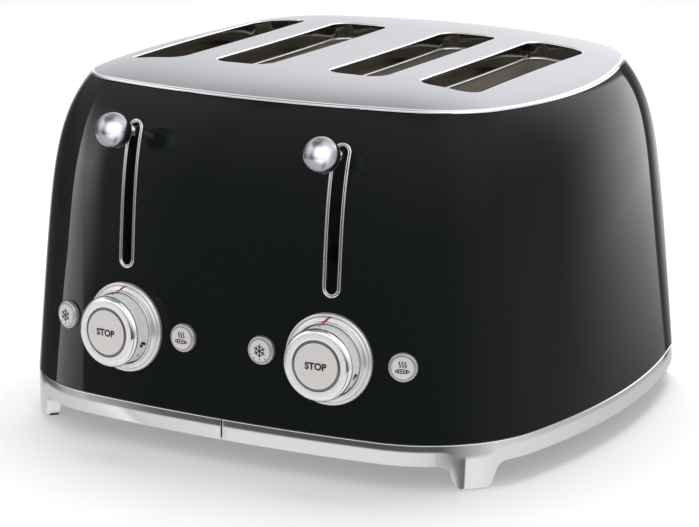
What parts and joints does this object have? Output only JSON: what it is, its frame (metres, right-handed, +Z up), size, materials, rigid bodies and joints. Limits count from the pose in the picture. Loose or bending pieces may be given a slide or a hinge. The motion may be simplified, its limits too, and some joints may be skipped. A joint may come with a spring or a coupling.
{
  "type": "toaster",
  "caption": "Rounded retro toaster with ball-ended levers, browning knobs with stop buttons, push buttons, slide-out crumb trays and a crowned steel top with long bread slots.",
  "frame": {"origin": "on the table, at the middle of the toaster's footprint", "axes": "+X along the toaster to the viewer's right, -Y out of the front with the levers and knobs, +Z up"},
  "size_m": [0.34, 0.3341, 0.2066],
  "materials": {
    "shell": "high gloss black paint",
    "top": "satin",
    "band": "satin silver",
    "rubber": "matt",
    "base": "matt black",
    "chrome": "polished",
    "knob": "polished front, satin number band",
    "button": "satin pale grey",
    "inner_steel": "plain",
    "mica": "mica board",
    "board": "circuit board",
    "switch": "moulded",
    "magnet": "wound coil on an iron core"
  },
  "bodies": {
    "housing": {"body_shell": "shell", "top_panel": "top", "base_skirt": "band", "foot_pad_front_left": "rubber", "foot_pad_front_right": "rubber", "foot_pad_rear_left": "rubber", "foot_pad_rear_right": "rubber", "top_gasket": "rubber", "cable_gland": "rubber", "base_plate": "base", "lever_bezel_left": "chrome", "lever_bezel_right": "chrome", "knob_collar_left": "chrome", "knob_collar_right": "chrome", "guide_rod_left": "inner_steel", "guide_rod_right": "inner_steel", "lift_spring_left": "inner_steel", "lift_spring_right": "inner_steel", "front_bulkhead": "inner_steel", "rear_bulkhead": "inner_steel", "heat_shield_left": "inner_steel", "heat_shield_right": "inner_steel", "bread_guide_left_outer_in": "inner_steel", "bread_guide_left_outer_out": "inner_steel", "bread_guide_left_inner_in": "inner_steel", "bread_guide_left_inner_out": "inner_steel", "bread_guide_right_inner_in": "inner_steel", "bread_guide_right_inner_out": "inner_steel", "bread_guide_right_outer_in": "inner_steel", "bread_guide_right_outer_out": "inner_steel", "heater_left_inner": "mica", "heater_left_middle": "mica", "heater_left_outer": "mica", "heater_right_inner": "mica", "heater_right_middle": "mica", "heater_right_outer": "mica", "control_board_left": "board", "control_board_right": "board", "browning_switch_left": "switch", "browning_switch_right": "switch", "latch_magnet_left": "magnet", "latch_magnet_right": "magnet"},
    "lift_left": {"lever_ball_left": "chrome", "lift_carriage_left": "inner_steel", "bread_rack_left_outer": "inner_steel", "bread_rack_left_inner": "inner_steel"},
    "knob_left": {"browning_knob_left": "knob"},
    "stop_left": {"stop_button_left": "button"},
    "defrost_left": {"defrost_button_left": "button"},
    "reheat_left": {"reheat_button_left": "button"},
    "tray_left": {"crumb_tray_left": "band"},
    "lift_right": {"lever_ball_right": "chrome", "lift_carriage_right": "inner_steel", "bread_rack_right_inner": "inner_steel", "bread_rack_right_outer": "inner_steel"},
    "knob_right": {"browning_knob_right": "knob"},
    "stop_right": {"stop_button_right": "button"},
    "defrost_right": {"defrost_button_right": "button"},
    "reheat_right": {"reheat_button_right": "button"},
    "tray_right": {"crumb_tray_right": "band"}
  },
  "joints": [
    {"name": "lever_left", "type": "slide", "parent": "housing", "child": "lift_left", "axis": [0, 0, -1], "range_m": [0, 0.068], "stiffness_N_per_m": 60, "springref_m": -0.06, "deforming": ["lift_spring_left"]},
    {"name": "lever_right", "type": "slide", "parent": "housing", "child": "lift_right", "axis": [0, 0, -1], "range_m": [0, 0.068], "stiffness_N_per_m": 60, "springref_m": -0.06, "deforming": ["lift_spring_right"]},
    {"name": "browning_left", "type": "hinge", "parent": "housing", "child": "knob_left", "pos_m": [-0.06466, -0.1511, 0.068], "axis": [0.0916, 0.9952, -0.0349], "range_deg": [0, 255]},
    {"name": "browning_right", "type": "hinge", "parent": "housing", "child": "knob_right", "pos_m": [0.06466, -0.1511, 0.068], "axis": [-0.0916, 0.9952, -0.0349], "range_deg": [0, 255]},
    {"name": "stop_left", "type": "slide", "parent": "housing", "child": "stop_left", "axis": [0.0916, 0.9952, -0.0349], "range_m": [0, 0.002], "stiffness_N_per_m": 500, "springref_m": -0.001},
    {"name": "defrost_left", "type": "slide", "parent": "housing", "child": "defrost_left", "axis": [0.2996, 0.9534, -0.0349], "range_m": [0, 0.0015], "stiffness_N_per_m": 400, "springref_m": -0.001},
    {"name": "reheat_left", "type": "slide", "parent": "housing", "child": "reheat_left", "axis": [0.0351, 0.9988, -0.0349], "range_m": [0, 0.0015], "stiffness_N_per_m": 400, "springref_m": -0.001},
    {"name": "stop_right", "type": "slide", "parent": "housing", "child": "stop_right", "axis": [-0.0916, 0.9952, -0.0349], "range_m": [0, 0.002], "stiffness_N_per_m": 500, "springref_m": -0.001},
    {"name": "defrost_right", "type": "slide", "parent": "housing", "child": "defrost_right", "axis": [-0.0351, 0.9988, -0.0349], "range_m": [0, 0.0015], "stiffness_N_per_m": 400, "springref_m": -0.001},
    {"name": "reheat_right", "type": "slide", "parent": "housing", "child": "reheat_right", "axis": [-0.2996, 0.9534, -0.0349], "range_m": [0, 0.0015], "stiffness_N_per_m": 400, "springref_m": -0.001},
    {"name": "tray_left", "type": "slide", "parent": "housing", "child": "tray_left", "axis": [0, -1, 0], "range_m": [0, 0.19]},
    {"name": "tray_right", "type": "slide", "parent": "housing", "child": "tray_right", "axis": [0, -1, 0], "range_m": [0, 0.19]}
  ]
}
